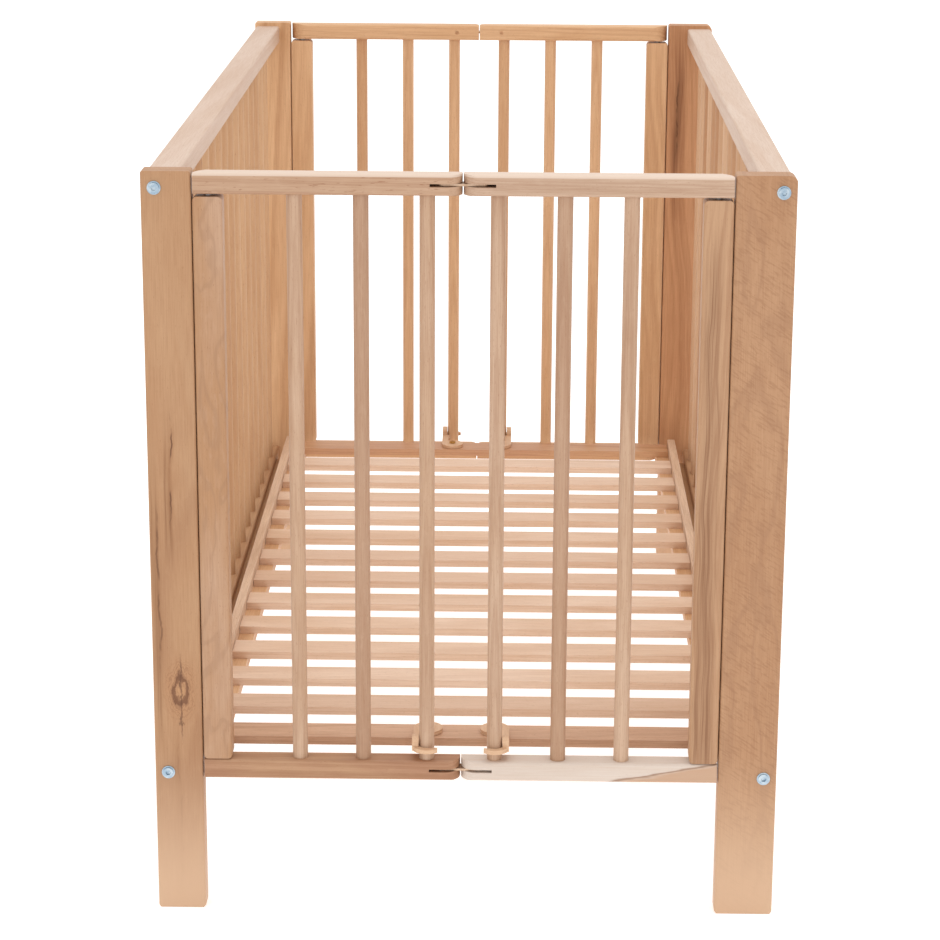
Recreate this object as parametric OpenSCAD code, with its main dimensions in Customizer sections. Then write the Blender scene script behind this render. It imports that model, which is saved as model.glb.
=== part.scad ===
// Slatted wooden baby crib with end frames that break in the middle and a
// loose slatted base held on the end bars by four swing catches.
// X runs across the crib, Y along it with the front end at -Y, Z is up.
// The origin is on the floor below the middle of the crib.

/* [Overall size] */
// Width over the posts
crib_w = 660; // [560:1:860]
// Length over the posts
crib_l = 1240; // [1000:1:1500]
// Height of the posts
crib_h = 804; // [640:1:980]

/* [Posts] */
// Thickness of every post along the crib
post_t = 24; // [20:0.5:32]
// Width of the two left posts
post_w_left = 51; // [46:1:66]
// Width of the two right posts
post_w_right = 62; // [46:1:80]
// Rounding of the long edges of posts, stiles and side rails
edge_r = 3; // [1:0.5:4]
// Rounding of a right post's outer top corner
right_corner_r = 8; // [3:0.5:12]
// Rounding of a left post's outer top corner
left_corner_r = 3; // [2:0.5:12]
// Chamfer round each foot
foot_chamfer = 2.5; // [1:0.5:5]

/* [Long sides] */
// Step from a post's outer face in to the side rails
side_inset = 2; // [0.5:0.5:5]
// Width of a side's top rail
top_rail_w = 33; // [28:1:40]
// Width of a side's bottom rail
bottom_rail_w = 25; // [24:0.5:30]
// Height of the side rails
side_rail_h = 24; // [22:0.5:34]
// Drop from the post tops down to the top rails
rail_drop = 5; // [2:0.5:20]
// Height of the lower rails' top face above the floor
low_top = 168.5; // [120:0.5:260]
// Distance from a side rail's outer face in to its bars and bolts
bar_line = 12; // [11:0.5:13]

/* [Bars] */
// Diameter of every bar
bar_d = 16; // [12:0.5:20]
// Spacing of neighbouring bars
bar_pitch = 67.3; // [55:0.1:80]
// Distance from a post to the nearest side bar's middle
side_first_bar = 57.6; // [46:0.1:90]
// Depth of a bar's socket in a side rail
side_socket = 12; // [8:0.5:16]
// Wood left between a bar's socket in an end rail and the slot for the link
socket_floor = 1.2; // [0.8:0.1:3]
// Radial glue line round a bar in its socket
socket_clearance = 0.05; // [0.02:0.01:0.2]

/* [Folding ends] */
// Rise of the end rails' top above the side rails' top
end_rise = 3; // [0:0.5:4.5]
// Height of the end rails
end_rail_h = 21.5; // [15:0.5:26]
// Gap between the two half rails at the middle
mid_gap = 1.2; // [1:0.2:5]
// Gap between an end rail and its post
rail_post_gap = 1.5; // [0.5:0.1:3]
// Distance from the middle to the nearest bar
first_bar = 36; // [34:0.5:44]
// Bars in each half frame
half_bars = 3; // [1:1:3]
// Rounding of a half rail's inner corner at the post
post_corner_r = 22; // [14:0.5:23]
// Rounding of a half rail's outer corner at the middle
mid_corner_r = 16; // [8:0.5:20]
// Width of the stile beside each post
stile_w = 30.5; // [24:0.5:40]
// Gap between a stile and its post
stile_post_gap = 0.8; // [0.4:0.1:2]
// Gap between a stile and the rail above it
stile_head_gap = 2.5; // [1:0.5:5]
// Gap between a stile and the rail below it
stile_foot_gap = 0.8; // [0.5:0.1:3]
// Rounding of a stile's end corners
stile_corner_r = 5; // [2:0.5:8]

/* [End hinges] */
// Diameter of the pivot pins at the stiles
pivot_d = 8; // [6:0.5:10]
// Length of a pivot pin inside the stile
pivot_in_stile = 22; // [14:1:30]
// Length of a pivot pin inside the rail
pivot_in_rail = 12; // [8:0.5:14]
// Height of the slot sawn into each half rail for the link
kerf_h = 3.2; // [2.4:0.1:5]
// Length of the slot from the middle
kerf_l = 33.4; // [30:0.2:36]
// Wood left behind the slot at the inner face
kerf_wall = 3; // [2:0.5:6]
// Thickness of the link plate
link_t = 2.4; // [2:0.1:4]
// Distance from the middle to each link pin
link_pin_x = 20; // [16:0.5:22]
// Width of the link plate
link_w = 14; // [12:0.5:18]
// Diameter of the link pins
link_pin_d = 5; // [4:0.5:6]
// Wood left over a link pin
pin_cover = 3; // [2:0.5:5]
// Depth that a link pin is sunk below the rail
pin_sink = 1; // [0.5:0.5:3]
// Running clearance round a pin
pin_clearance = 0.05; // [0.02:0.01:0.1]
// Diameter of the blind peg hole on the inner face at the slot's end
peg_hole_d = 5; // [3:0.5:6]
// Depth of that blind peg hole
peg_hole_depth = 2; // [1:0.5:2.5]

/* [Slatted base] */
// Gap between the base and a side's bottom rail
base_side_gap = 13; // [4:0.5:20]
// Gap between the base and the end rails
base_end_gap = 18.7; // [12:0.1:26]
// Height of the slats' top above the lower rails
slat_rise = 12.5; // [8:0.5:60]
// Number of slats
slat_count = 14; // [8:1:16]
// Width of a slat
slat_w = 38.5; // [34:0.5:48]
// Thickness of a slat
slat_t = 9; // [6:0.5:14]
// Gap between a slat's end and the base rail
slat_end_gap = 0.4; // [0.2:0.1:1]
// Thickness of a base rail
base_rail_t = 11; // [9:0.5:18]
// Height of a base rail
base_rail_h = 30; // [26:0.5:34]
// Height of the base rails' top above the slats
rail_over_slat = 8; // [2:0.5:9]
// Width of the cleat below the slat ends
cleat_w = 18; // [14:0.5:26]

/* [Base support] */
// Width of the ledge strip on each side's bottom rail
ledge_w = 22; // [18:0.5:30]
// Distance from a post to the end of the ledge strip
ledge_end_gap = 40; // [10:5:120]
// Gap between the ledge strips and the base
rest_gap = 0.3; // [0.2:0.1:1]

/* [Catches] */
// Radius of the round ends of a catch
catch_r = 15.5; // [14:0.5:18]
// Thickness of a catch
catch_t = 4.5; // [4:0.5:8]
// Clearance between a catch's hook and its bar
hook_clearance = 0.6; // [0.3:0.1:1.5]
// Width of a catch's neck beside the bar
neck_w = 9; // [7:0.5:10]
// Reach of a catch's hook past the middle of its bar
hook_tip = 11.3; // [9:0.1:13]
// Height of a catch's finger tab above the slat
tab_h = 16; // [14:0.5:24]
// Depth of a catch's finger tab
tab_d = 13; // [10:0.5:16]
// Gap below and above a catch
catch_gap = 0.3; // [0.2:0.1:0.6]
// Diameter of a catch's pivot screw
catch_screw_d = 4; // [3:0.5:6]
// Head diameter of a catch's pivot screw
catch_head_d = 9; // [7:0.5:12]
// Head height of a catch's pivot screw
catch_head_h = 2.4; // [1.5:0.1:4]

/* [Fasteners] */
// Diameter of the frame bolts
bolt_d = 6; // [5:0.5:8]
// Head diameter of the frame bolts
bolt_head_d = 14; // [11:0.5:18]
// Head height of the frame bolts
bolt_head_h = 2.6; // [2:0.1:5]
// Width of the thin rim round a frame bolt's head
bolt_rim_w = 1.6; // [0.8:0.1:3]
// Height of that rim
bolt_rim_h = 1; // [0.6:0.1:1.8]
// Width across the flats of a frame bolt's hexagonal socket
bolt_socket = 5; // [3:0.5:6]
// Length of a frame bolt's shank inside the side rail
bolt_reach = 32; // [26:1:36]
// Diameter of a barrel nut
nut_d = 10; // [9:0.5:12]
// Length of a barrel nut
nut_l = 16; // [12:0.5:18]
// Distance from the post to a barrel nut
nut_setback = 24; // [18:1:26]
// Diameter of the dowels that join stile and post
dowel_d = 8; // [6:0.5:10]
// Length of a stile dowel
dowel_l = 30; // [20:1:40]
// Shank diameter of the wood screws
screw_d = 3.5; // [3:0.5:4]
// Head diameter of the wood screws
screw_head_d = 7; // [6:0.5:8]
// Head height of the wood screws
screw_head_h = 2.2; // [1.5:0.1:3]
// Length of a wood screw inside the second piece
screw_bite = 6; // [4:0.5:7]
// Radial clearance round fasteners and dowels
fit_clearance = 0.1; // [0.05:0.05:0.3]

/* [Hidden] */
$fn = 48;

LEFT = -1;
RIGHT = 1;
FRONT = -1;
REAR = 1;
SIDES = [LEFT, RIGHT];
ENDS = [FRONT, REAR];
eps = 0.1;

// Wood tones
beech = [0.84, 0.68, 0.52];
beech_pale = [0.90, 0.80, 0.68];
beech_warm = [0.78, 0.58, 0.40];
plywood = [0.88, 0.74, 0.55];
zinc = [0.62, 0.70, 0.76];
brass = [0.72, 0.58, 0.34];
steel = [0.55, 0.55, 0.56];

// Posts and rails
half_w = crib_w / 2;
half_l = crib_l / 2;
inner_l = crib_l - 2 * post_t;
end_y = half_l - post_t / 2;
top_z = crib_h - rail_drop;
function post_w(side) = side == LEFT ? post_w_left : post_w_right;
function post_in(side) = half_w - post_w(side);
mid_x = (post_in(RIGHT) - post_in(LEFT)) / 2;
half_span = (post_in(RIGHT) + post_in(LEFT)) / 2;
rail_out_x = half_w - side_inset;
bar_x = rail_out_x - bar_line;
side_top_mid = top_z - side_rail_h / 2;
side_low_mid = low_top - side_rail_h / 2;

// Side bars share the space between their end bars evenly
side_bar_span = inner_l - 2 * side_first_bar;
side_bar_gaps = round(side_bar_span / bar_pitch);
side_bar_ys = [for (k = [0 : side_bar_gaps]) -side_bar_span / 2 + k * side_bar_span / side_bar_gaps];

// End frames, in the coordinates of one half: u from the middle to the post,
// v from the inner face to the outer face
end_low_top = low_top + end_rise;
end_low_z = end_low_top - end_rail_h;
end_top_low_z = top_z + end_rise - end_rail_h;
end_socket = (end_rail_h - kerf_h) / 2 - socket_floor;
end_bar_us = [for (k = [0 : half_bars - 1]) first_bar + k * bar_pitch];
stile_u = half_span - stile_post_gap - stile_w / 2;
stile_z0 = end_low_top + stile_foot_gap;
stile_z1 = end_top_low_z - stile_head_gap;
dowel_zs = [for (t = [0.12, 0.5, 0.88]) stile_z0 + t * (stile_z1 - stile_z0)];

// Base
base_out_x = rail_out_x - bottom_rail_w - base_side_gap;
base_in_x = base_out_x - base_rail_t;
base_l = inner_l - 2 * base_end_gap;
slat_z1 = low_top + slat_rise;
slat_z0 = slat_z1 - slat_t;
base_z1 = slat_z1 + rail_over_slat;
base_z0 = base_z1 - base_rail_h;
slat_end_y = (base_l - slat_w) / 2;
slat_pitch = 2 * slat_end_y / (slat_count - 1);
slat_ys = [for (k = [0 : slat_count - 1]) -slat_end_y + k * slat_pitch];
slat_screw_x = base_in_x - cleat_w / 2;

// Ledges
ledge_x1 = rail_out_x - bottom_rail_w;
ledge_z1 = base_z0 - rest_gap;
ledge_z0 = low_top - side_rail_h;
ledge_l = inner_l - 2 * ledge_end_gap;
ledge_screw_ys = [for (t = [-1, -1 / 3, 1 / 3, 1])
    (floor(t * (ledge_l / 2 - bar_pitch) / bar_pitch) + 0.5) * bar_pitch];

// Catches
catch_reach = end_y - slat_end_y;
catch_z0 = slat_z1 + catch_gap;
hook_r = bar_d / 2 + hook_clearance;

// ---- shared shapes ----

// A plate of the corner that a rounding takes away, with its arc centre at
// the origin and its corner towards +x +y
module corner_waste(r) {
    difference() {
        square([r + eps, r + eps]);
        circle(r = r);
    }
}

// Rectangle about the origin with four equal round corners
module round_rect(w, h, r) {
    difference() {
        square([w, h], center = true);
        for (sx = [0, 1], sy = [0, 1])
            mirror_x(sx) mirror_y(sy)
                translate([w / 2 - r, h / 2 - r]) corner_waste(r);
    }
}

module mirror_x(on) {
    if (on) mirror([1, 0, 0]) children();
    else children();
}

module mirror_y(on) {
    if (on) mirror([0, 1, 0]) children();
    else children();
}

// Prism of the given section along Y, centred on it
module along_y(l) {
    translate([0, l / 2, 0]) rotate([90, 0, 0]) linear_extrude(height = l) children();
}

// Prism of the given section along X, centred on it
module along_x(l) {
    rotate([0, 0, -90]) rotate([90, 0, 0])
        translate([0, 0, -l / 2]) linear_extrude(height = l) children();
}

// Round rod along Z from z0 to z1
module rod(d, z0, z1) {
    translate([0, 0, z0]) cylinder(d = d, h = z1 - z0);
}

// Round rod along Y from y0 to y1
module rod_y(d, y0, y1) {
    translate([0, y1, 0]) rotate([90, 0, 0]) cylinder(d = d, h = y1 - y0);
}

// Round rod along X from x0 to x1
module rod_x(d, x0, x1) {
    translate([x0, 0, 0]) rotate([0, 90, 0]) cylinder(d = d, h = x1 - x0);
}

// Children drawn for one half of an end frame, in u and v
module at_half(side, end) {
    translate([mid_x, end * end_y, 0])
        mirror_x(side == LEFT) mirror_y(end == FRONT) children();
}

// Children at each frame bolt of a post: local +y points out of the post
module at_bolts(side, end) {
    for (z = [side_top_mid, side_low_mid])
        translate([side * bar_x, end * half_l, z])
            mirror_y(end == FRONT) children();
}

// ---- posts ----

// Front view of a post, standing on z = 0, with x = 0 at its outer face and
// x growing inwards
module post_outline(w, r) {
    difference() {
        square([w, crib_h]);
        translate([r, crib_h - r]) mirror([1, 0, 0]) corner_waste(r);
        translate([w - edge_r, crib_h - edge_r]) corner_waste(edge_r);
        for (s = [0, 1])
            translate([s * w, 0]) mirror([s, 0, 0])
                polygon([[-eps, -eps], [foot_chamfer, -eps], [foot_chamfer, 0],
                         [0, foot_chamfer], [-eps, foot_chamfer]]);
    }
}

module post(side, end) {
    w = post_w(side);
    r = side == LEFT ? left_corner_r : right_corner_r;
    difference() {
        intersection() {
            translate([side * half_w, end * end_y, 0]) mirror_x(side == RIGHT)
                along_y(post_t) post_outline(w, r);
            translate([side * (half_w - w / 2), end * end_y, 0])
                linear_extrude(height = crib_h) round_rect(w, post_t, edge_r);
        }
        at_bolts(side, end)
            rod_y(bolt_d + 2 * fit_clearance, -post_t - eps, eps);
        for (z = dowel_zs)
            translate([side * post_in(side), end * end_y, z])
                rotate([0, side * 90, 0])
                    rod(dowel_d + 2 * fit_clearance, -eps, dowel_l / 2 + fit_clearance);
    }
}

// ---- long sides ----

// Side rail of width w about its own section, with z_mid its height
module side_rail(side, w, z_mid, sockets_up) {
    difference() {
        translate([side * (rail_out_x - w / 2), 0, z_mid])
            along_y(inner_l) round_rect(w, side_rail_h, edge_r);
        // bar sockets
        for (y = side_bar_ys)
            translate([side * bar_x, y, z_mid]) mirror([0, 0, sockets_up ? 0 : 1])
                rod(bar_d + 2 * socket_clearance,
                    side_rail_h / 2 - side_socket, side_rail_h / 2 + eps);
        // bolt and barrel nut at each end
        for (end = ENDS)
            translate([side * bar_x, end * inner_l / 2, z_mid]) mirror_y(end == REAR) {
                rod_y(bolt_d + 2 * fit_clearance, -eps, bolt_reach + 1);
                translate([0, nut_setback, 0])
                    rod(nut_d + 2 * fit_clearance, -side_rail_h / 2 - eps, nut_l / 2);
            }
    }
}

module side_bottom_rail(side) {
    difference() {
        side_rail(side, bottom_rail_w, side_low_mid, true);
        for (y = ledge_screw_ys)
            translate([side * ledge_x1, y, (ledge_z0 + ledge_z1) / 2])
                mirror_x(side == LEFT)
                    rod_x(screw_d + 2 * fit_clearance, -eps, 2 * screw_bite + fit_clearance);
    }
}

module side_bars(side) {
    for (y = side_bar_ys)
        translate([side * bar_x, y, 0])
            rod(bar_d, low_top - side_socket + fit_clearance,
                top_z - side_rail_h + side_socket - fit_clearance);
}

// ---- folding ends ----

// Stile beside a post
module stile(side, end) {
    at_half(side, end) difference() {
        intersection() {
            translate([stile_u, 0, (stile_z0 + stile_z1) / 2])
                along_y(post_t) round_rect(stile_w, stile_z1 - stile_z0, stile_corner_r);
            translate([stile_u, 0, stile_z0 - eps])
                linear_extrude(height = stile_z1 - stile_z0 + 2 * eps)
                    round_rect(stile_w, post_t, edge_r);
        }
        translate([stile_u, 0, 0]) {
            rod(pivot_d + 2 * pin_clearance, stile_z0 - eps,
                stile_z0 + pivot_in_stile + fit_clearance);
            rod(pivot_d + 2 * pin_clearance, stile_z1 - pivot_in_stile - fit_clearance,
                stile_z1 + eps);
        }
        for (z = dowel_zs)
            translate([half_span - stile_post_gap, 0, z]) rotate([0, 90, 0])
                rod(dowel_d + 2 * fit_clearance,
                    -dowel_l / 2 + stile_post_gap - fit_clearance, eps);
    }
}

// Plan of a half rail: round inner corner at the post, round outer corner at
// the middle
module half_rail_plan() {
    u0 = mid_gap / 2;
    u1 = half_span - rail_post_gap;
    v = post_t / 2;
    difference() {
        translate([u0, -v]) square([u1 - u0, post_t]);
        translate([u1 - post_corner_r, -v + post_corner_r])
            mirror([0, 1, 0]) corner_waste(post_corner_r);
        translate([u0 + mid_corner_r, v - mid_corner_r])
            mirror([1, 0, 0]) corner_waste(mid_corner_r);
    }
}

// Half rail with its lower face at z0; bars enter it from above or below
module end_rail(side, end, z0, bars_above) {
    z1 = z0 + end_rail_h;
    zm = (z0 + z1) / 2;
    at_half(side, end) difference() {
        intersection() {
            translate([0, 0, z0]) linear_extrude(height = end_rail_h) half_rail_plan();
            translate([half_span / 2, 0, zm])
                along_x(half_span + 2) round_rect(post_t, end_rail_h, edge_r);
        }
        // slot for the link
        translate([0, -post_t / 2 + kerf_wall, zm - kerf_h / 2])
            cube([kerf_l, post_t, kerf_h]);
        // link pin, from below
        translate([link_pin_x, 0, 0])
            rod(link_pin_d + 2 * pin_clearance, z0 - eps, z1 - pin_cover);
        // blind peg hole on the inner face
        translate([kerf_l - peg_hole_d / 4, 0, zm])
            rod_y(peg_hole_d, -post_t / 2 - eps, -post_t / 2 + peg_hole_depth);
        // pivot and bars
        z_open = bars_above ? z1 : z0;
        dir = bars_above ? -1 : 1;
        translate([stile_u, 0, z_open]) mirror([0, 0, bars_above ? 1 : 0])
            rod(pivot_d + 2 * pin_clearance, -eps, pivot_in_rail + fit_clearance);
        for (u = end_bar_us)
            translate([u, 0, z_open]) mirror([0, 0, bars_above ? 1 : 0])
                rod(bar_d + 2 * socket_clearance, -eps, end_socket);
    }
}

module end_bars(side, end) {
    at_half(side, end)
        for (u = end_bar_us)
            translate([u, 0, 0])
                rod(bar_d, end_low_top - end_socket + fit_clearance,
                    end_top_low_z + end_socket - fit_clearance);
}

// Link plate across the middle, with its round ends on the link pins
module link(end, z0) {
    zm = z0 + end_rail_h / 2;
    translate([mid_x, end * end_y, zm - link_t / 2])
        difference() {
            linear_extrude(height = link_t) union() {
                square([2 * link_pin_x, link_w], center = true);
                for (s = SIDES) translate([s * link_pin_x, 0]) circle(d = link_w);
            }
            for (s = SIDES) translate([s * link_pin_x, 0, 0])
                rod(link_pin_d + 2 * pin_clearance, -eps, link_t + eps);
        }
}

module link_pins() {
    for (side = SIDES, end = ENDS, z0 = [end_low_z, end_top_low_z])
        at_half(side, end) translate([link_pin_x, 0, 0])
            rod(link_pin_d, z0 + pin_sink, z0 + end_rail_h - pin_cover - fit_clearance);
}

module pivot_pins() {
    for (side = SIDES, end = ENDS)
        at_half(side, end) translate([stile_u, 0, 0]) {
            rod(pivot_d, end_low_top - pivot_in_rail, stile_z0 + pivot_in_stile);
            rod(pivot_d, stile_z1 - pivot_in_stile, end_top_low_z + pivot_in_rail);
        }
}

module stile_dowels() {
    for (side = SIDES, end = ENDS, z = dowel_zs)
        at_half(side, end) translate([half_span, 0, z])
            rod_x(dowel_d, -dowel_l / 2, dowel_l / 2);
}

// ---- frame fasteners ----

module frame_bolts() {
    for (side = SIDES, end = ENDS)
        at_bolts(side, end) difference() {
            union() {
                rod_y(bolt_d, -post_t - bolt_reach, eps);
                rod_y(bolt_head_d, 0, bolt_rim_h);
                rod_y(bolt_head_d - 2 * bolt_rim_w, 0, bolt_head_h);
            }
            translate([0, bolt_head_h + eps, 0]) rotate([90, 0, 0])
                cylinder(d = bolt_socket / cos(30), h = bolt_head_h * 0.7 + eps, $fn = 6);
        }
}

module barrel_nuts() {
    for (side = SIDES, end = ENDS, z = [side_top_mid, side_low_mid])
        translate([side * bar_x, end * (inner_l / 2 - nut_setback), z])
            difference() {
                rod(nut_d, -nut_l / 2, nut_l / 2 - fit_clearance);
                rod_y(bolt_d + 2 * fit_clearance, -nut_d, nut_d);
            }
}

// ---- base support ----

module ledge(side) {
    difference() {
        translate([side * (ledge_x1 - ledge_w / 2), 0, (ledge_z0 + ledge_z1) / 2])
            cube([ledge_w, ledge_l, ledge_z1 - ledge_z0], center = true);
        at_ledge_screws(side)
            rod_x(screw_d + 2 * fit_clearance, -eps, ledge_w + eps);
    }
}

// Children at each ledge screw: local +x runs into the side's bottom rail
module at_ledge_screws(side) {
    for (y = ledge_screw_ys)
        translate([side * (ledge_x1 - ledge_w), y, (ledge_z0 + ledge_z1) / 2])
            mirror_x(side == LEFT) children();
}

module ledge_screws() {
    for (side = SIDES)
        at_ledge_screws(side) {
            rod_x(screw_d, -eps, ledge_w + 2 * screw_bite);
            rod_x(screw_head_d, -screw_head_h, 0);
        }
}

// ---- slatted base ----

module base_rail(side) {
    translate([side * (base_out_x - base_rail_t / 2), 0, (base_z0 + base_z1) / 2])
        along_y(base_l) round_rect(base_rail_t, base_rail_h, edge_r / 2);
}

module cleat(side) {
    difference() {
        translate([side * (base_in_x - cleat_w / 2), 0, (base_z0 + slat_z0) / 2])
            cube([cleat_w, base_l, slat_z0 - base_z0], center = true);
        for (y = slat_ys)
            translate([side * slat_screw_x, y, 0])
                rod(screw_d + 2 * fit_clearance, base_z0 - eps, slat_z0 + eps);
    }
}

// One slat about its own middle line
module slat() {
    difference() {
        translate([0, 0, (slat_z0 + slat_z1) / 2])
            cube([2 * (base_in_x - slat_end_gap), slat_w, slat_t], center = true);
        for (side = SIDES)
            translate([side * slat_screw_x, 0, 0])
                rod(screw_d + 2 * fit_clearance, slat_z0 - eps,
                    slat_z0 + screw_bite + fit_clearance);
    }
}

// The slats between the two end slats
module base_slats() {
    for (k = [1 : slat_count - 2])
        translate([0, slat_ys[k], 0]) slat();
}

// End slat, drilled for its two catch screws
module end_slat(end) {
    difference() {
        translate([0, end * slat_end_y, 0]) slat();
        for (side = SIDES)
            at_half(side, end) translate([first_bar, -catch_reach, 0])
                rod(catch_screw_d + 2 * fit_clearance, slat_z0 - eps, slat_z1 + eps);
    }
}

module slat_screws() {
    for (side = SIDES, y = slat_ys)
        translate([side * slat_screw_x, y, 0]) {
            rod(screw_d, base_z0 - eps, slat_z0 + screw_bite);
            rod(screw_head_d, base_z0 - screw_head_h, base_z0);
        }
}

// ---- catches ----

// Plan of a catch, with its pivot at the origin and its bar at v = catch_reach.
// The arm passes the bar on the side away from the middle, and the mouth
// follows an arc about the pivot, so the hook swings off the bar.
module catch_plan() {
    arm_u = catch_r - neck_w;
    difference() {
        union() {
            circle(r = catch_r);
            translate([0, catch_reach]) circle(r = catch_r);
            translate([arm_u, 0]) square([neck_w, catch_reach]);
        }
        translate([0, catch_reach]) circle(r = hook_r);
        intersection() {
            difference() {
                circle(r = catch_reach + hook_r);
                circle(r = catch_reach - hook_r);
            }
            translate([-2 * catch_r, 0]) square([2 * catch_r, 2 * catch_reach]);
        }
        translate([arm_u - 2 * catch_r, catch_r + 1])
            square([2 * catch_r, catch_reach - hook_r - catch_r]);
        translate([-2 * catch_r, catch_r + 1])
            square([2 * catch_r - hook_tip, 2 * catch_reach]);
    }
}

// Upright finger tab on the arm beside the bar
module catch_tab() {
    tab_t = catch_r - hook_r;
    translate([hook_r, catch_reach, 0]) {
        translate([0, -tab_d / 2, 0]) cube([tab_t, tab_d, tab_h - tab_d / 2]);
        translate([0, 0, tab_h - tab_d / 2]) rod_x(tab_d, 0, tab_t);
    }
}

module catch(side, end) {
    at_half(side, end) translate([first_bar, -catch_reach, catch_z0])
        difference() {
            union() {
                linear_extrude(height = catch_t) catch_plan();
                catch_tab();
            }
            rod(catch_screw_d + 2 * fit_clearance, -eps, catch_t + eps);
        }
}

module catch_screws() {
    for (side = SIDES, end = ENDS)
        at_half(side, end) translate([first_bar, -catch_reach, 0]) {
            rod(catch_screw_d, slat_z0 + 1, catch_z0 + catch_t + catch_gap + eps);
            rod(catch_head_d, catch_z0 + catch_t + catch_gap,
                catch_z0 + catch_t + catch_gap + catch_head_h);
        }
}

// ---- the parts ----

color(beech) post(LEFT, FRONT);  // post_front_left
color(beech) post(RIGHT, FRONT);  // post_front_right
color(beech_warm) post(LEFT, REAR);  // post_rear_left
color(beech_warm) post(RIGHT, REAR);  // post_rear_right
color(beech_pale)  // side_top_rail_left
    side_rail(LEFT, top_rail_w, side_top_mid, false);
color(beech_pale)  // side_top_rail_right
    side_rail(RIGHT, top_rail_w, side_top_mid, false);
color(beech) side_bottom_rail(LEFT);  // side_bottom_rail_left
color(beech) side_bottom_rail(RIGHT);  // side_bottom_rail_right
color(beech_warm) side_bars(LEFT);  // side_bars_left
color(beech_warm) side_bars(RIGHT);  // side_bars_right
color(beech) stile(LEFT, FRONT);  // stile_front_left
color(beech) stile(RIGHT, FRONT);  // stile_front_right
color(beech_warm) stile(LEFT, REAR);  // stile_rear_left
color(beech_warm) stile(RIGHT, REAR);  // stile_rear_right
color(beech)  // end_top_rail_front_left
    end_rail(LEFT, FRONT, end_top_low_z, false);
color(beech)  // end_top_rail_front_right
    end_rail(RIGHT, FRONT, end_top_low_z, false);
color(beech_warm)  // end_top_rail_rear_left
    end_rail(LEFT, REAR, end_top_low_z, false);
color(beech_warm)  // end_top_rail_rear_right
    end_rail(RIGHT, REAR, end_top_low_z, false);
color(beech)  // end_bottom_rail_front_left
    end_rail(LEFT, FRONT, end_low_z, true);
color(beech_pale)  // end_bottom_rail_front_right
    end_rail(RIGHT, FRONT, end_low_z, true);
color(beech_warm)  // end_bottom_rail_rear_left
    end_rail(LEFT, REAR, end_low_z, true);
color(beech_warm)  // end_bottom_rail_rear_right
    end_rail(RIGHT, REAR, end_low_z, true);
color(beech) end_bars(LEFT, FRONT);  // end_bars_front_left
color(beech) end_bars(RIGHT, FRONT);  // end_bars_front_right
color(beech_warm) end_bars(LEFT, REAR);  // end_bars_rear_left
color(beech_warm) end_bars(RIGHT, REAR);  // end_bars_rear_right
color(plywood) link(FRONT, end_top_low_z);  // link_front_top
color(plywood) link(FRONT, end_low_z);  // link_front_bottom
color(plywood) link(REAR, end_top_low_z);  // link_rear_top
color(plywood) link(REAR, end_low_z);  // link_rear_bottom
color(steel) pivot_pins();
color(steel) link_pins();
color(zinc) frame_bolts();
color(zinc) barrel_nuts();
color(beech_pale) stile_dowels();
color(beech) ledge(LEFT);  // ledge_left
color(beech) ledge(RIGHT);  // ledge_right
color(zinc) ledge_screws();
color(beech_pale) base_rail(LEFT);  // base_rail_left
color(beech_pale) base_rail(RIGHT);  // base_rail_right
color(beech) cleat(LEFT);  // cleat_left
color(beech) cleat(RIGHT);  // cleat_right
color(beech) base_slats();
color(beech) end_slat(FRONT);  // end_slat_front
color(beech) end_slat(REAR);  // end_slat_rear
color(zinc) slat_screws();
color(plywood) catch(LEFT, FRONT);  // catch_front_left
color(plywood) catch(RIGHT, FRONT);  // catch_front_right
color(plywood) catch(LEFT, REAR);  // catch_rear_left
color(plywood) catch(RIGHT, REAR);  // catch_rear_right
color(brass) catch_screws();
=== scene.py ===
import math

import bpy
from mathutils import Matrix, Vector


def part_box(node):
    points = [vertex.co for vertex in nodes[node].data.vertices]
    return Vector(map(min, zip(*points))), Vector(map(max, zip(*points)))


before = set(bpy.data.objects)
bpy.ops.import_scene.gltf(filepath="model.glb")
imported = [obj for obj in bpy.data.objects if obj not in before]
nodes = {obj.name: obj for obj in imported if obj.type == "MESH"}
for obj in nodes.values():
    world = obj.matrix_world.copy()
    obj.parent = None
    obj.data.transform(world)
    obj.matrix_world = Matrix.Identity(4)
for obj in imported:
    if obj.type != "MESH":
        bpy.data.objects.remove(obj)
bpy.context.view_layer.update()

MM = 0.001
WHITE = (1, 1, 1, 1)


# ---- places, from the frame ----

def span(name, axis):
    """A node's lowest and highest place along an axis."""
    lo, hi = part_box(name)
    i = "XYZ".index(axis)
    return lo[i], hi[i]


def middle(name, axis):
    """The middle of a node along an axis."""
    return sum(span(name, axis)) / 2


def extent(name, axis):
    """The size of a node along an axis."""
    lo, hi = span(name, axis)
    return hi - lo


def row(name, axis, count, solid_width, lowest):
    """A node's row of like solids: its axis, the middle of solid 0, and the pitch.
    lowest is the number of the row's lowest solid, so that solid 0 is near the middle."""
    lo, hi = span(name, axis)
    pitch = (hi - lo - solid_width) / (count - 1)
    return axis, lo + solid_width / 2 - lowest * pitch, pitch


# ---- node helpers ----

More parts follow.
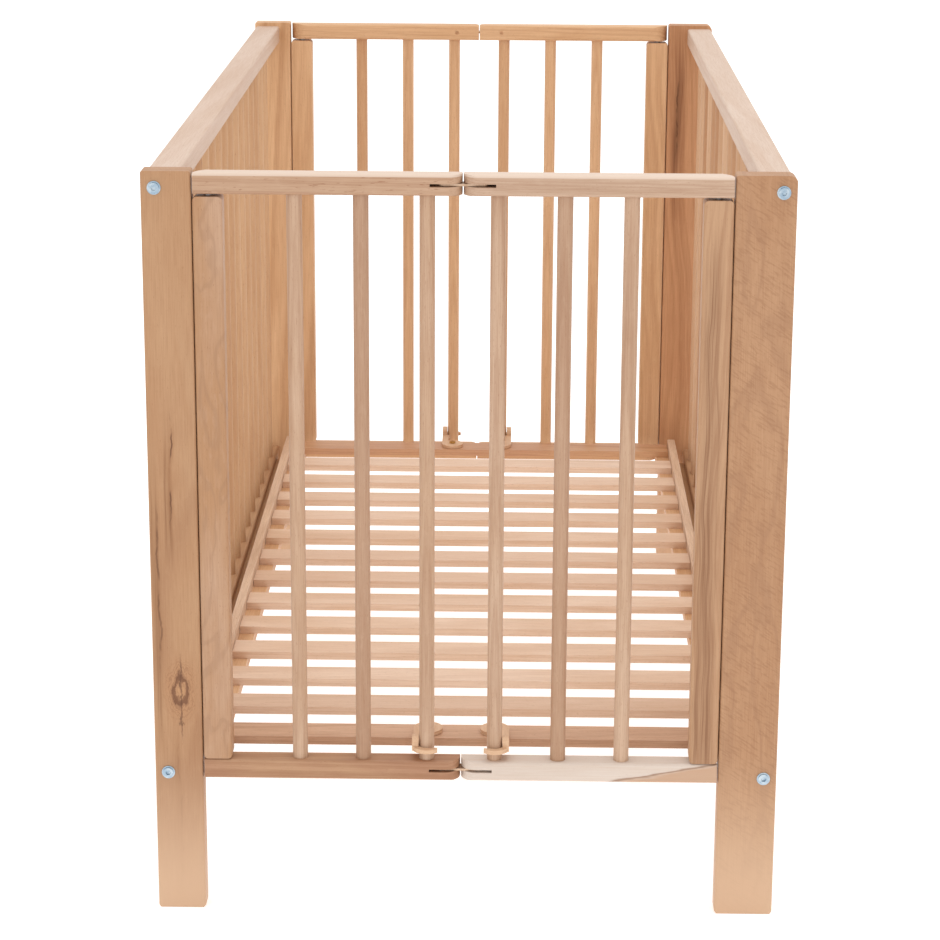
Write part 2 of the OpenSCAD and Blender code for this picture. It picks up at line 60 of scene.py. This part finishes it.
class Tree:
    """A small wrapper that builds a material's node tree."""

    def __init__(self, name):
        self.mat = bpy.data.materials.new(name)
        self.mat.use_nodes = True
        self.nt = self.mat.node_tree
        self.nt.nodes.clear()
        self.out = self.nt.nodes.new("ShaderNodeOutputMaterial")
        self.bsdf = self.nt.nodes.new("ShaderNodeBsdfPrincipled")
        self.nt.links.new(self.bsdf.outputs[0], self.out.inputs[0])

    def new(self, kind, **props):
        n = self.nt.nodes.new("ShaderNode" + kind)
        for k, v in props.items():
            setattr(n, k, v)
        return n

    def put(self, socket, value):
        if isinstance(value, bpy.types.NodeSocket):
            self.nt.links.new(value, socket)
        elif value is not None:
            socket.default_value = value

    def math(self, op, a, b=None, c=None):
        n = self.new("Math", operation=op)
        for s, v in zip(n.inputs, (a, b, c)):
            self.put(s, v)
        return n.outputs[0]

    def add(self, a, b):
        return self.math("ADD", a, b)

    def sub(self, a, b):
        return self.math("SUBTRACT", a, b)

    def mul(self, a, b):
        return self.math("MULTIPLY", a, b)

    def muladd(self, a, b, c):
        return self.math("MULTIPLY_ADD", a, b, c)

    def size(self, a):
        return self.math("ABSOLUTE", a)

    def vec(self, x, y, z):
        n = self.new("CombineXYZ")
        for s, v in zip(n.inputs, (x, y, z)):
            self.put(s, v)
        return n.outputs[0]

    def noise(self, vector, scale=1.0, detail=3.0, rough=0.5, dist=0.0):
        n = self.new("TexNoise")
        self.put(n.inputs["Vector"], vector)
        n.inputs["Scale"].default_value = scale
        n.inputs["Detail"].default_value = detail
        n.inputs["Roughness"].default_value = rough
        n.inputs["Distortion"].default_value = dist
        return n.outputs[0]

    def hashed(self, value):
        """A random number from 0 to 1, the same for the same value."""
        n = self.new("TexWhiteNoise", noise_dimensions="1D")
        self.put(n.inputs["W"], value)
        return n.outputs["Value"]

    def ramp(self, value, lo, hi, a=0.0, b=1.0, smooth=True):
        """From a at lo to b at hi, and level beyond them."""
        n = self.new("MapRange", clamp=True)
        if smooth:
            n.interpolation_type = "SMOOTHSTEP"
        for s, v in zip(n.inputs, (value, lo, hi, a, b)):
            self.put(s, v)
        return n.outputs[0]

    def mix(self, fac, a, b):
        n = self.new("Mix", data_type="RGBA")
        self.put(n.inputs["Factor"], fac)
        self.put(n.inputs["A"], a)
        self.put(n.inputs["B"], b)
        return n.outputs["Result"]

    def bump(self, height, strength, distance):
        n = self.new("Bump")
        n.inputs["Strength"].default_value = strength
        n.inputs["Distance"].default_value = distance
        self.put(n.inputs["Height"], height)
        self.put(self.bsdf.inputs["Normal"], n.outputs[0])


def srgb(r, g, b):
    def one(c):
        c /= 255
        return c / 12.92 if c <= 0.04045 else ((c + 0.055) / 1.055) ** 2.4
    return (one(r), one(g), one(b), 1.0)


# ---- beech ----

PITH = 0.2           # metres beside the board for each unit of centre
SPECK = srgb(140, 92, 60)


def beech(name, tones, axis, seed, cell=None, rings=0.35, centre=(0.3, -0.25), fleck=1.0,
          patch=0.6, vary=0.5, speck_size=1.0, extra=None):
    """Beech with growth rings, fibre, pores, ray flecks and broad changes of tone.
    tones are its main, pale and dark tones, and axis is the grain's direction.
    cell = (axis, origin, pitch) gives each solid of a row its own grain and tone.
    extra adds features that only this board has."""
    tone, pale, dark = tones
    t = Tree(name)
    tc = t.new("TexCoord")
    sep = t.new("SeparateXYZ")
    t.put(sep.inputs[0], tc.outputs["Object"])
    xyz = {"X": sep.outputs[0], "Y": sep.outputs[1], "Z": sep.outputs[2]}
    across = [xyz[a] for a in "XYZ" if a != axis]

    own = None           # a random number for each solid of a row
    off = seed * 3.71
    shift = off
    if cell:
        row_axis, origin, pitch = cell
        place = t.math("ROUND", t.math("DIVIDE", t.sub(xyz[row_axis], origin), pitch))
        own = t.hashed(t.add(place, seed * 17.3))
        shift = t.muladd(own, 9.0, off)
    along = t.add(xyz[axis], shift)

    def stretched(k_across, k_along):
        """Coordinates in cells across and along the grain."""
        return t.vec(t.mul(across[0], k_across), t.mul(across[1], k_across), t.mul(along, k_along))

    # slow bending of the grain
    bend = t.sub(t.noise(stretched(9.0, 2.2), detail=2.0), 0.5)

    # growth rings about a pith line beside the board
    u = t.add(across[0], centre[0] * PITH)
    v = t.add(across[1], centre[1] * PITH)
    u = t.muladd(bend, 0.05, u)
    v = t.muladd(along, 0.018, v)
    rad = t.math("SQRT", t.add(t.mul(u, u), t.mul(v, v)))
    rad = t.muladd(bend, 0.012, rad)
    ring = t.noise(t.vec(t.mul(rad, 260.0), shift, 0.0), detail=2.0, rough=0.55)
    ring = t.ramp(ring, 0.42, 0.66)

    # fibre and pores along the grain
    fibre = t.noise(stretched(900.0, 22.0), detail=4.0, rough=0.6)
    per = 1.0 / speck_size
    speck = t.noise(stretched(1500.0 * per, 230.0 * per), detail=1.0, rough=0.4)
    speck = t.ramp(speck, 0.66, 0.76)

    # ray flecks, shimmering patches a few millimetres long
    ray = t.ramp(t.noise(stretched(210.0, 55.0), detail=2.0, rough=0.6, dist=0.6), 0.5, 0.72)

    broad = t.noise(stretched(14.0, 3.4), detail=3.0, rough=0.55, dist=0.7)
    broad = t.ramp(broad, 0.36, 0.66)

    col = t.mix(t.mul(broad, patch), tone, pale)
    if own is not None:
        col = t.mix(t.mul(t.hashed(t.muladd(own, 53.0, 2.7)), vary), col, pale)
        col = t.mix(t.ramp(own, 0.55, 1.0, 0.0, vary * 0.75), col, dark)
    col = t.mix(t.mul(ring, rings), col, dark)
    col = t.mix(t.ramp(fibre, 0.35, 0.75, 0.0, 0.34), col, dark)
    col = t.mix(t.mul(ray, 0.13 * fleck), col, pale)
    col = t.mix(t.mul(speck, 0.42 * fleck), col, SPECK)
    if extra:
        col = extra(t, col, xyz)
    t.put(t.bsdf.inputs["Base Color"], col)
    t.put(t.bsdf.inputs["Roughness"], t.ramp(fibre, 0.25, 0.8, 0.44, 0.58, False))
    t.bsdf.inputs["Specular IOR Level"].default_value = 0.38
    relief = t.muladd(speck, -0.8, t.muladd(ring, -0.4, fibre))
    t.bump(relief, 0.25, 0.12 * MM)
    return t.mat


def metal(name, tone, tint, rough):
    """Plated or bare metal with a faint mottle and a fine uneven polish."""
    t = Tree(name)
    tc = t.new("TexCoord")
    fine = t.noise(tc.outputs["Object"], 900.0, 3.0, 0.6)
    cloud = t.noise(tc.outputs["Object"], 120.0, 2.0, 0.5)
    t.put(t.bsdf.inputs["Base Color"], t.mix(t.ramp(cloud, 0.35, 0.65), tone, tint))
    t.bsdf.inputs["Metallic"].default_value = 1.0
    t.put(t.bsdf.inputs["Roughness"], t.ramp(fine, 0.3, 0.7, rough - 0.07, rough + 0.1))
    t.bump(fine, 0.3, 0.06 * MM)
    return t.mat


# ---- features of single boards ----
# Each one returns a function that adds the feature to a board's colour.

def each(*parts):
    """Several features one after another."""
    def add(t, col, xyz):
        for part in parts:
            col = part(t, col, xyz)
        return col
    return add


def knot_at(x, z, r):
    """An irregular knot with a pale middle, and a fine crack above and below it."""
    def add(t, col, xyz):
        wob = t.noise(t.vec(t.mul(xyz["X"], 170.0), 0.0, t.mul(xyz["Z"], 75.0)), rough=0.6)
        wob = t.sub(wob, 0.5)
        dx = t.sub(xyz["X"], x)
        dz = t.sub(xyz["Z"], z)
        half_dz = t.mul(dz, 0.5)
        d = t.math("SQRT", t.add(t.mul(dx, dx), t.mul(half_dz, half_dz)))
        d = t.muladd(wob, r * 1.3, d)
        halo = t.ramp(d, r, r * 2.8, 0.55, 0.0)
        col = t.mix(halo, col, srgb(170, 122, 84))
        waves = t.math("SINE", t.mul(d, 2600.0))
        lines = t.mul(t.ramp(d, r * 0.9, r * 2.4, 1.0, 0.0), t.ramp(waves, -0.3, 1.0, 0.0, 0.4))
        col = t.mix(lines, col, srgb(118, 76, 46))
        rim = t.mul(t.ramp(d, r * 0.45, r * 0.7), t.ramp(d, r * 0.8, r * 1.1, 1.0, 0.0))
        col = t.mix(t.mul(rim, 0.8), col, srgb(104, 62, 36))
        col = t.mix(t.ramp(d, r * 0.2, r * 0.5, 0.5, 0.0), col, srgb(186, 140, 98))
        line = t.ramp(t.size(t.muladd(wob, 0.012, dx)), 0.3 * MM, 1.6 * MM, 1.0, 0.0)
        fade = t.ramp(t.size(t.add(dz, 8 * MM)), 30 * MM, 55 * MM, 1.0, 0.0)
        return t.mix(t.mul(t.mul(line, fade), 0.7), col, srgb(96, 60, 38))
    return add


def streaks(x, width, tone, lo, hi, strength, freq=300.0):
    """Brown heart streaks in a band of a board between two heights."""
    def add(t, col, xyz):
        wob = t.noise(t.vec(t.mul(xyz["X"], 20.0), 0.0, t.mul(xyz["Z"], 6.0)), detail=2.0)
        wob = t.sub(wob, 0.5)
        c = t.muladd(wob, width * 1.4, t.sub(xyz["X"], x))
        band = t.ramp(t.size(c), width * 0.25, width, 1.0, 0.0)
        line = t.noise(t.vec(t.mul(c, freq), 0.0, t.mul(xyz["Z"], 3.0)), rough=0.6)
        line = t.ramp(line, 0.42, 0.62)
        above = t.ramp(xyz["Z"], lo - 0.03, lo + 0.05)
        below = t.ramp(xyz["Z"], hi - 0.08, hi + 0.03, 1.0, 0.0)
        m = t.mul(t.mul(above, below), band)
        col = t.mix(t.mul(m, strength * 0.35), col, tone)
        return t.mix(t.mul(t.mul(m, line), strength), col, tone)
    return add


def crack(x, lo, hi, half, strength, tone=srgb(96, 58, 34)):
    """A thin wandering dark line in a board, with a soft brown border."""
    def add(t, col, xyz):
        wob = t.noise(t.vec(0.0, x * 90.0, t.mul(xyz["Z"], 17.0)), detail=4.0, rough=0.6)
        d = t.size(t.muladd(t.sub(wob, 0.5), 0.014, t.sub(xyz["X"], x)))
        m = t.mul(t.ramp(xyz["Z"], lo, lo + 0.04), t.ramp(xyz["Z"], hi - 0.04, hi, 1.0, 0.0))
        broken = t.noise(t.vec(0.0, x * 50.0, t.mul(xyz["Z"], 40.0)), detail=2.0)
        broken = t.ramp(broken, 0.36, 0.56)
        soft = t.mul(t.ramp(d, half, half * 5.0, strength * 0.45, 0.0), m)
        col = t.mix(soft, col, srgb(150, 104, 68))
        core = t.mul(t.ramp(d, half * 0.3, half * 1.3, strength, 0.0), m)
        return t.mix(t.mul(core, broken), col, tone)
    return add


def end_patch(t, col, xyz):
    """Brown heartwood that runs slantwise into the outer end of the pale bottom rail."""
    rail = "end_bottom_rail_front_right"
    height = middle(rail, "Z") + 0.75 * MM
    end = span(rail, "X")[1]
    wob = t.noise(t.vec(t.mul(xyz["X"], 14.0), 0.0, t.mul(xyz["Z"], 120.0)), rough=0.6)
    s = t.muladd(t.sub(xyz["Z"], height), -5.0, xyz["X"])
    s = t.muladd(t.sub(wob, 0.5), 0.05, s)
    m = t.ramp(s, end - 66.5 * MM, end - 34.5 * MM)
    line = t.ramp(t.size(t.sub(s, end - 54.5 * MM)), 0.0, 10 * MM, 0.7, 0.0)
    col = t.mix(t.mul(m, 0.75), col, srgb(182, 138, 102))
    return t.mix(line, col, srgb(128, 88, 56))


def fade_to(tone, lo, hi, at_lo, at_hi):
    """Another tone whose share goes from at_lo at height lo to at_hi at height hi."""
    def add(t, col, xyz):
        return t.mix(t.ramp(xyz["Z"], lo, hi, at_lo, at_hi), col, tone)
    return add


def figure(tone, strength, lines=46.0, cells=(24.0, 7.0)):
    """Wavy contour lines, as where a saw cut runs along the growth rings."""
    def add(t, col, xyz):
        n = t.noise(t.vec(t.mul(xyz["X"], cells[0]), 3.3, t.mul(xyz["Z"], cells[1])),
                    detail=2.5, dist=0.5)
        wave = t.math("SINE", t.mul(n, lines))
        thin = t.ramp(wave, 0.55, 0.98)
        soft = t.ramp(wave, -0.4, 1.0, 0.0, 0.35)
        col = t.mix(t.mul(soft, strength), col, tone)
        return t.mix(t.mul(thin, strength), col, tone)
    return add


def slant_flecks(tone, strength, tilt=0.6):
    """Short fine flecks that lie slantwise on a board's face."""
    def add(t, col, xyz):
        c, s = math.cos(tilt), math.sin(tilt)
        along = t.muladd(xyz["X"], c, t.mul(xyz["Z"], -s))
        across = t.muladd(xyz["X"], s, t.mul(xyz["Z"], c))
        n = t.noise(t.vec(t.mul(along, 90.0), 1.7, t.mul(across, 480.0)), detail=2.0)
        return t.mix(t.ramp(n, 0.48, 0.7, 0.0, strength), col, tone)
    return add


# painted light: the posts are painted paler towards the floor, standing in for light that falls on
# their feet from below
FOOT_PAINTED_LIGHT = fade_to(srgb(209, 174, 143), 10 * MM, 200 * MM, 0.8, 0.0)
# painted highlight: the top few millimetres of the front end top rails are painted pale, standing
# in for light falling on their upper faces
RAIL_HIGH = span("end_top_rail_front_left", "Z")[1]
RAIL_TOP_PAINTED_HIGHLIGHT = fade_to(srgb(212, 190, 172), RAIL_HIGH - 2.8 * MM, RAIL_HIGH - 2 * MM, 0.0, 0.9)

# ---- tones: main, pale, dark ----

PALE = srgb(189, 151, 115)
DARK = srgb(144, 98, 66)
WARM_PALE = srgb(220, 180, 140)
WARM_DARK = srgb(166, 114, 72)
CREAM_DARK = srgb(180, 142, 112)
FRONT = (srgb(175, 132, 95), PALE, DARK)
WARM = (srgb(206, 162, 120), WARM_PALE, WARM_DARK)
CREAM = (srgb(200, 175, 156), srgb(210, 189, 173), CREAM_DARK)
CREAM_LEFT = (srgb(196, 169, 149), srgb(206, 183, 166), CREAM_DARK)
END_BAR = (srgb(184, 148, 118), srgb(202, 172, 147), DARK)
BASE_RAIL = (srgb(212, 178, 148), srgb(224, 194, 168), DARK)

# ---- rows of like solids, and the middles of the boards that have features ----

BAR_D = extent("side_bars_left", "X")
SLAT_W = extent("end_slat_front", "Y")
SIDE_ROW = row("side_bars_left", "Y", 17, BAR_D, -8)
LEFT_ROW = row("end_bars_front_left", "X", 3, BAR_D, -2)
RIGHT_ROW = row("end_bars_front_right", "X", 3, BAR_D, 0)
SLAT_ROW = row("base_slats", "Y", 12, SLAT_W, -6)
POST_FL = middle("post_front_left", "X")
POST_RR = middle("post_rear_right", "X")
STILE_FR = middle("stile_front_right", "X")

# ---- one material for each wooden node ----

mats = {
    "post_front_left": beech(
        "wood_post_fl", FRONT, "Z", 1.0, rings=0.42, patch=0.5, centre=(1.6, 0.4), extra=each(
            knot_at(POST_FL + 3.9 * MM, 0.249, 9.5 * MM),
            streaks(POST_FL - 4.5 * MM, 0.006, srgb(128, 84, 50), 0.40, 0.54, 0.8),
            streaks(POST_FL - 19.5 * MM, 0.006, srgb(132, 90, 56), 0.20, 0.50, 0.7),
            crack(POST_FL - 1.5 * MM, 0.42, 0.56, 0.9 * MM, 0.9),
            crack(POST_FL - 16.5 * MM, 0.26, 0.46, 1.2 * MM, 0.6),
            crack(POST_FL + 0.5 * MM, 0.0, 0.21, 1.0 * MM, 0.45, srgb(132, 88, 56)),
            streaks(POST_FL - 2.5 * MM, 0.006, srgb(150, 106, 70), 0.0, 0.21, 0.6),
            FOOT_PAINTED_LIGHT)),
    "post_front_right": beech(
        "wood_post_fr", (srgb(174, 130, 94), srgb(187, 146, 111), DARK), "Z", 2.0, rings=0.12,
        patch=0.5, centre=(-1.3, 2.4), fleck=1.4, extra=each(
            figure(srgb(152, 110, 80), 0.26, 40.0, (15.0, 4.5)),
            slant_flecks(srgb(142, 98, 66), 0.36),
            FOOT_PAINTED_LIGHT)),
    "post_rear_left": beech("wood_post_rl", WARM, "Z", 3.0, rings=0.4, extra=FOOT_PAINTED_LIGHT),
    "post_rear_right": beech(
        "wood_post_rr", (srgb(188, 136, 96), srgb(203, 153, 110), srgb(146, 94, 58)), "Z", 4.0,
        rings=0.4, extra=each(
            streaks(POST_RR - 13 * MM, 0.013, srgb(120, 70, 40), 0.52, 0.80, 0.7),
            streaks(POST_RR - 15 * MM, 0.006, srgb(96, 52, 28), 0.60, 0.72, 1.0, 520.0),
            crack(POST_RR - 16 * MM, 0.60, 0.74, 1.4 * MM, 0.9),
            FOOT_PAINTED_LIGHT)),
    "stile_front_left": beech(
        "wood_stile_fl", (FRONT[0], srgb(192, 158, 132), DARK), "Z", 5.0, rings=0.1, patch=0.9,
        centre=(1.2, 0.7), fleck=1.4, extra=figure(srgb(152, 114, 86), 0.26)),
    "stile_front_right": beech(
        "wood_stile_fr", (srgb(177, 135, 100), srgb(192, 154, 120), DARK), "Z", 6.0, rings=0.4,
        extra=streaks(STILE_FR - 2.95 * MM, 0.012, srgb(126, 84, 54), 0.15, 0.74, 0.75, 420.0)),
    "stile_rear_left": beech("wood_stile_rl", WARM, "Z", 7.0),
    "stile_rear_right": beech("wood_stile_rr", WARM, "Z", 8.0),
    "side_top_rail_left": beech("wood_top_l", CREAM_LEFT, "Y", 9.0, rings=0.25),
    "side_top_rail_right": beech("wood_top_r", CREAM, "Y", 10.0, rings=0.25),
    "side_bottom_rail_left": beech("wood_bot_l", FRONT, "Y", 11.0),
    "side_bottom_rail_right": beech("wood_bot_r", FRONT, "Y", 12.0),
    "side_bars_left": beech(
        "wood_bars_l", (srgb(190, 148, 110), srgb(208, 170, 132), WARM_DARK), "Z", 13.0,
        SIDE_ROW, rings=0.12, vary=0.8),
    "side_bars_right": beech(
        "wood_bars_r", (srgb(196, 156, 120), srgb(214, 178, 144), WARM_DARK), "Z", 14.0,
        SIDE_ROW, rings=0.12, vary=0.8),
    "end_top_rail_front_left": beech(
        "wood_etl", (srgb(184, 149, 121), srgb(196, 164, 138), DARK), "X", 15.0, fleck=1.7,
        patch=0.3, speck_size=1.9, extra=RAIL_TOP_PAINTED_HIGHLIGHT),
    "end_top_rail_front_right": beech(
        "wood_etr", (srgb(190, 160, 136), srgb(204, 176, 153), DARK), "X", 16.0, fleck=1.2,
        rings=0.25, extra=RAIL_TOP_PAINTED_HIGHLIGHT),
    "end_top_rail_rear_left": beech("wood_ertl", WARM, "X", 17.0, rings=0.5),
    "end_top_rail_rear_right": beech("wood_ertr", WARM, "X", 18.0),
    "end_bottom_rail_front_left": beech(
        "wood_ebl", (srgb(168, 124, 95), PALE, DARK), "X", 19.0, rings=0.45),
    "end_bottom_rail_front_right": beech(
        "wood_ebr", (srgb(206, 190, 177), srgb(216, 203, 192), srgb(192, 164, 141)), "X", 20.0,
        rings=0.15, patch=0.5, fleck=0.4, extra=end_patch),
    "end_bottom_rail_rear_left": beech("wood_erbl", WARM, "X", 21.0),
    "end_bottom_rail_rear_right": beech("wood_erbr", WARM, "X", 22.0),
    "end_bars_front_left": beech("wood_bfl", END_BAR, "Z", 23.0, LEFT_ROW),
    "end_bars_front_right": beech("wood_bfr", END_BAR, "Z", 24.0, RIGHT_ROW),
    "end_bars_rear_left": beech("wood_brl", WARM, "Z", 25.0, LEFT_ROW),
    "end_bars_rear_right": beech("wood_brr", WARM, "Z", 26.0, RIGHT_ROW),
    "ledge_left": beech("wood_ledge_l", FRONT, "Y", 27.0),
    "ledge_right": beech("wood_ledge_r", FRONT, "Y", 28.0),
    "base_rail_left": beech("wood_brail_l", BASE_RAIL, "Y", 29.0),
    "base_rail_right": beech("wood_brail_r", BASE_RAIL, "Y", 30.0),
    "cleat_left": beech("wood_cleat_l", WARM, "Y", 31.0),
    "cleat_right": beech("wood_cleat_r", WARM, "Y", 32.0),
    "base_slats": beech(
        "wood_slats", (srgb(216, 182, 153), srgb(234, 208, 186), srgb(184, 140, 106)), "X", 33.0,
        SLAT_ROW, rings=0.22, fleck=0.7),
    "end_slat_front": beech(
        "wood_slat_f", (srgb(204, 162, 131), srgb(214, 176, 146), DARK), "X", 34.0),
    "end_slat_rear": beech(
        "wood_slat_r", (srgb(192, 144, 110), WARM[0], WARM_DARK), "X", 35.0, rings=0.5),
    "stile_dowels": beech("wood_dowels", CREAM, "X", 36.0),
}
catch_wood = beech("wood_catch", (srgb(210, 172, 138), srgb(222, 190, 156), srgb(180, 132, 98)),
                   "Y", 37.0, rings=0.3, fleck=0.6)
link_metal = metal("link_plate", srgb(200, 172, 148), srgb(180, 150, 124), 0.4)
zinc = metal("zinc_plate", srgb(184, 196, 204), srgb(150, 170, 186), 0.32)
brass = metal("yellow_zinc", srgb(208, 176, 112), srgb(190, 156, 96), 0.3)
steel = metal("plain_steel", srgb(168, 168, 170), srgb(150, 150, 152), 0.35)

CATCHES = [f"catch_{end}_{side}" for end in ("front", "rear") for side in ("left", "right")]
LINKS = [f"link_{end}_{level}" for end in ("front", "rear") for level in ("bottom", "top")]
mats.update(dict.fromkeys(CATCHES, catch_wood))
mats.update(dict.fromkeys(LINKS, link_metal))
mats.update(catch_screws=brass, link_pins=steel, pivot_pins=steel)
for name, node in nodes.items():
    node.data.materials.clear()
    node.data.materials.append(mats.get(name, zinc))     # the rest are zinc fasteners

# slats, rails, catches and screw heads have lightly broken edges
EDGES = {"base_slats": 1.0, "end_slat_front": 1.0, "end_slat_rear": 1.0,
         "cleat_left": 0.6, "cleat_right": 0.6, "ledge_left": 0.8, "ledge_right": 0.8,
         "frame_bolts": 0.6, "catch_screws": 0.5, **dict.fromkeys(CATCHES, 0.5)}
for name, width in EDGES.items():
    bevel = nodes[name].modifiers.new("edge", "BEVEL")
    bevel.width = width * MM
    bevel.segments = 3
    bevel.limit_method = "ANGLE"
    bevel.angle_limit = math.radians(40)
    bevel.harden_normals = False

# ---- floor ----

bpy.ops.mesh.primitive_plane_add(size=30, location=(0, 0, -0.5 * MM))
floor = bpy.context.object
floor.name = "floor"
paint = Tree("floor_white")
mottle = paint.noise(paint.new("TexCoord").outputs["Object"], 3.0, 2.0)
paint.put(paint.bsdf.inputs["Base Color"],
          paint.mix(mottle, (0.93, 0.93, 0.93, 1), (0.95, 0.95, 0.95, 1)))
paint.bsdf.inputs["Roughness"].default_value = 0.9
paint.bsdf.inputs["Emission Color"].default_value = WHITE
paint.bsdf.inputs["Emission Strength"].default_value = 0.38
floor.data.materials.append(paint.mat)

# ---- light ----

world = bpy.data.worlds.new("studio")
bpy.context.scene.world = world
world.use_nodes = True
background = world.node_tree.nodes["Background"]
background.inputs["Color"].default_value = WHITE
background.inputs["Strength"].default_value = 1.0
bpy.context.scene.view_settings.view_transform = "Standard"
MIDDLE = Vector((0, 0, 0.4))


def softbox(name, place, size, power):
    """A rectangular area light that faces the crib's middle."""
    lamp = bpy.data.lights.new(name, "AREA")
    lamp.shape = "RECTANGLE"
    lamp.size, lamp.size_y = size
    lamp.energy = power
    box = bpy.data.objects.new(name, lamp)
    bpy.context.scene.collection.objects.link(box)
    box.location = place
    box.rotation_euler = (MIDDLE - Vector(place)).to_track_quat("-Z", "Y").to_euler()


softbox("key", (-2.2, -3.0, 3.2), (2.2, 2.2), 9)
softbox("overhead", (0.3, -0.2, 3.4), (2.6, 3.2), 34)
softbox("fill", (2.6, -2.6, 2.2), (2.0, 2.0), 3)

# ---- camera ----

lens = bpy.data.cameras.new("camera")
cam = bpy.data.objects.new("camera", lens)
bpy.context.scene.collection.objects.link(cam)
lens.sensor_width = 36
lens.lens = 101.72
lens.shift_y = -0.0904
lens.clip_start = 0.05
cam.location = (0.0436, -3.2433, 1.2753)
yaw, pitch, roll = -0.0156, 0.2572, 0.0053      # radians: towards +X, down, right side up
ahead = Vector((math.sin(yaw) * math.cos(pitch), math.cos(yaw) * math.cos(pitch),
                -math.sin(pitch)))
level = Vector((math.cos(yaw), -math.sin(yaw), 0))
upright = level.cross(ahead)
right = level * math.cos(roll) + upright * math.sin(roll)
up = upright * math.cos(roll) - level * math.sin(roll)
cam.rotation_euler = Matrix((right, up, -ahead)).transposed().to_euler()
bpy.context.scene.camera = cam
